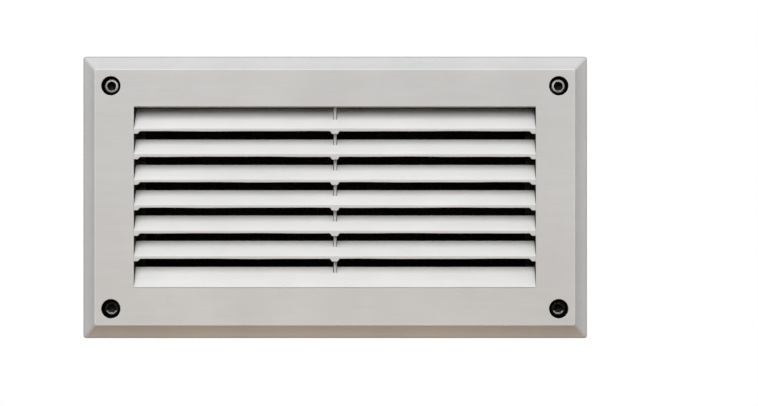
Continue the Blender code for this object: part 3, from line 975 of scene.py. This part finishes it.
# name, azimuth and elevation in degrees, distance, size, watts and colour
LIGHTS = [
    ("key", -5, 36.5, 1.7, 1.5, 30.8, (0.995, 1.0, 1.01)),
    ("overhead", 0, 80, 1.5, 0.6, 1.3, WHITE),
    ("bounce", 0, -60, 0.42, 0.3, 0.38, (1.0, 0.66, 0.38)),
    ("side_left", -78, 6, 1.2, 0.6, 2.1, WHITE),
    ("side_right", 78, 6, 1.2, 0.6, 2.7, WHITE),
    ("rear_left", 145, 22, 1.8, 1.0, 9.0, WHITE),
    ("rear_right", -145, 22, 1.8, 1.0, 9.0, WHITE),
]


def make_camera():
    data = bpy.data.cameras.new("camera")
    data.sensor_width = SENSOR
    data.lens = SENSOR * CAMERA_DISTANCE / VIEW_WIDTH
    camera = bpy.data.objects.new("camera", data)
    bpy.context.scene.collection.objects.link(camera)
    camera.location = (AIM_RIGHT, FRONT * MM - CAMERA_DISTANCE, -AIM_DOWN)
    camera.rotation_euler = (math.radians(90), 0.0, 0.0)
    bpy.context.scene.camera = camera


def make_light(name, azimuth, elevation, distance, size, power, colour):
    """A square soft light that looks at the object. Azimuth 0 is in front of it."""
    data = bpy.data.lights.new(name, "AREA")
    data.shape = "SQUARE"
    data.size = size
    data.energy = power
    data.color = colour
    lamp = bpy.data.objects.new(name, data)
    bpy.context.scene.collection.objects.link(lamp)
    a, e = math.radians(azimuth), math.radians(elevation)
    away = Vector((math.sin(a) * math.cos(e), -math.cos(a) * math.cos(e), math.sin(e)))
    lamp.location = away * distance
    lamp.rotation_euler = away.to_track_quat("Z", "Y").to_euler()
    lamp.visible_camera = False


def make_world():
    """White behind the object; for lighting, a pale sky over a dark skyline and warm ground."""
    world = bpy.data.worlds.new("studio")
    bpy.context.scene.world = world
    world.use_nodes = True
    nodes, links = world.node_tree.nodes, world.node_tree.links
    background = nodes["Background"]
    coordinates = nodes.new("ShaderNodeTexCoord")
    split = nodes.new("ShaderNodeSeparateXYZ")
    links.new(coordinates.outputs["Generated"], split.inputs["Vector"])
    rise = nodes.new("ShaderNodeMapRange")
    rise.inputs["From Min"].default_value = -1.0
    links.new(split.outputs["Z"], rise.inputs["Value"])
    ramp = nodes.new("ShaderNodeValToRGB")
    elements = ramp.color_ramp.elements
    while len(elements) < len(SURROUNDINGS):
        elements.new(0.5)
    for element, (height, colour) in zip(elements, SURROUNDINGS):
        element.position = (height + 1) / 2
        element.color = (*colour, 1.0)
    links.new(rise.outputs["Result"], ramp.inputs["Fac"])
    rays = nodes.new("ShaderNodeLightPath")
    mix = nodes.new("ShaderNodeMix")
    mix.data_type = "RGBA"
    mix.inputs[7].default_value = (*WHITE, 1.0)
    links.new(rays.outputs["Is Camera Ray"], mix.inputs[0])
    links.new(ramp.outputs["Color"], mix.inputs[6])
    links.new(mix.outputs[2], background.inputs["Color"])
    background.inputs["Strength"].default_value = 1.0


def make_floor():
    """A plain pale disc, low enough to stay out of the front view."""
    bm = bmesh.new()
    place = Matrix.Translation((0.0, 0.0, FLOOR_Z))
    bmesh.ops.create_circle(bm, cap_ends=True, segments=96, radius=FLOOR_RADIUS, matrix=place)
    mesh = bpy.data.meshes.new("floor")
    bm.to_mesh(mesh)
    bm.free()
    floor = bpy.data.objects.new("floor", mesh)
    bpy.context.scene.collection.objects.link(floor)
    s = Shader("pale_floor", 0.8)
    lighter = tuple(c * 1.02 for c in FLOOR_COLOUR)
    s.colour(s.ramp(s.noise(60, 3), [(0.3, FLOOR_COLOUR), (0.7, lighter)]))
    mesh.materials.append(s.material)


def make_stage():
    bpy.context.scene.view_settings.view_transform = "Standard"
    make_camera()
    make_world()
    make_floor()
    for light in LIGHTS:
        make_light(*light)


def main():
    paint = paint_material("face_grey_paint", 0.588)
    # Lighter paint for the blades' slopes and the rib: painted light.
    painted_light_paint = paint_material("painted_light_grey_paint", 0.72)
    lip_paint = paint_material("blade_front_grey_paint", 0.62)
    # Painted highlight for the bevel's inner edge.
    painted_highlight_paint = paint_material("painted_highlight_grey_paint", 0.70)
    # Darker paint for the outer rim, and painted shade for the top inner wall.
    dark_rim_and_shade_paint = paint_material("dark_rim_and_painted_shade_paint", 0.44)
    clean_steel = steel_material("clean_steel", (0.62, 0.60, 0.57), (0.45, 0.43, 0.40), 0.25)
    worn_steel = steel_material("worn_steel", (0.62, 0.61, 0.59), (0.44, 0.43, 0.40), 0.4)
    # Near-black film: painted shade in recesses, gaps and sockets, and grime on the lower screws'
    # heads.
    shade_and_grime = shade_and_grime_material("shade_and_grime_steel", 0.4)
    painted_shade = shade_and_grime_material("painted_shade_paint", 0.0)
    nylon = plastic_material("black_nylon", grey(0.012), grey(0.03), 0.4, 0.5)
    brass = brass_material()
    sleeve = plastic_material("grey_sleeve_plastic", grey(0.05, -0.02), grey(0.07, -0.02), 0.5, 0.52)
    holder = plastic_material("black_holder_plastic", grey(0.012), grey(0.022), 0.45, 0.45)
    charcoal = foam_material("charcoal_foam", grey(0.006), grey(0.018), 1.1, 0.6)
    seal = foam_material("closed_cell_foam", grey(0.03), grey(0.055), 0.5, 0.12)
    make_face_frame(paint, painted_shade, painted_highlight_paint, dark_rim_and_shade_paint)
    for index in range(BLADE_COUNT):
        make_blade(index, painted_light_paint, lip_paint)
    make_rib(painted_light_paint)
    for corner in CORNERS:
        make_face_screw(corner, clean_steel, worn_steel, shade_and_grime)
        make_washer(corner, nylon)
        make_insert(corner, brass)
        make_screen_screw(corner, clean_steel)
    make_insect_mesh(wire_material())
    make_screen_frame(holder)
    make_filter_pad(charcoal)
    make_gasket(seal)
    make_wall_sleeve(sleeve)
    make_stage()


main()
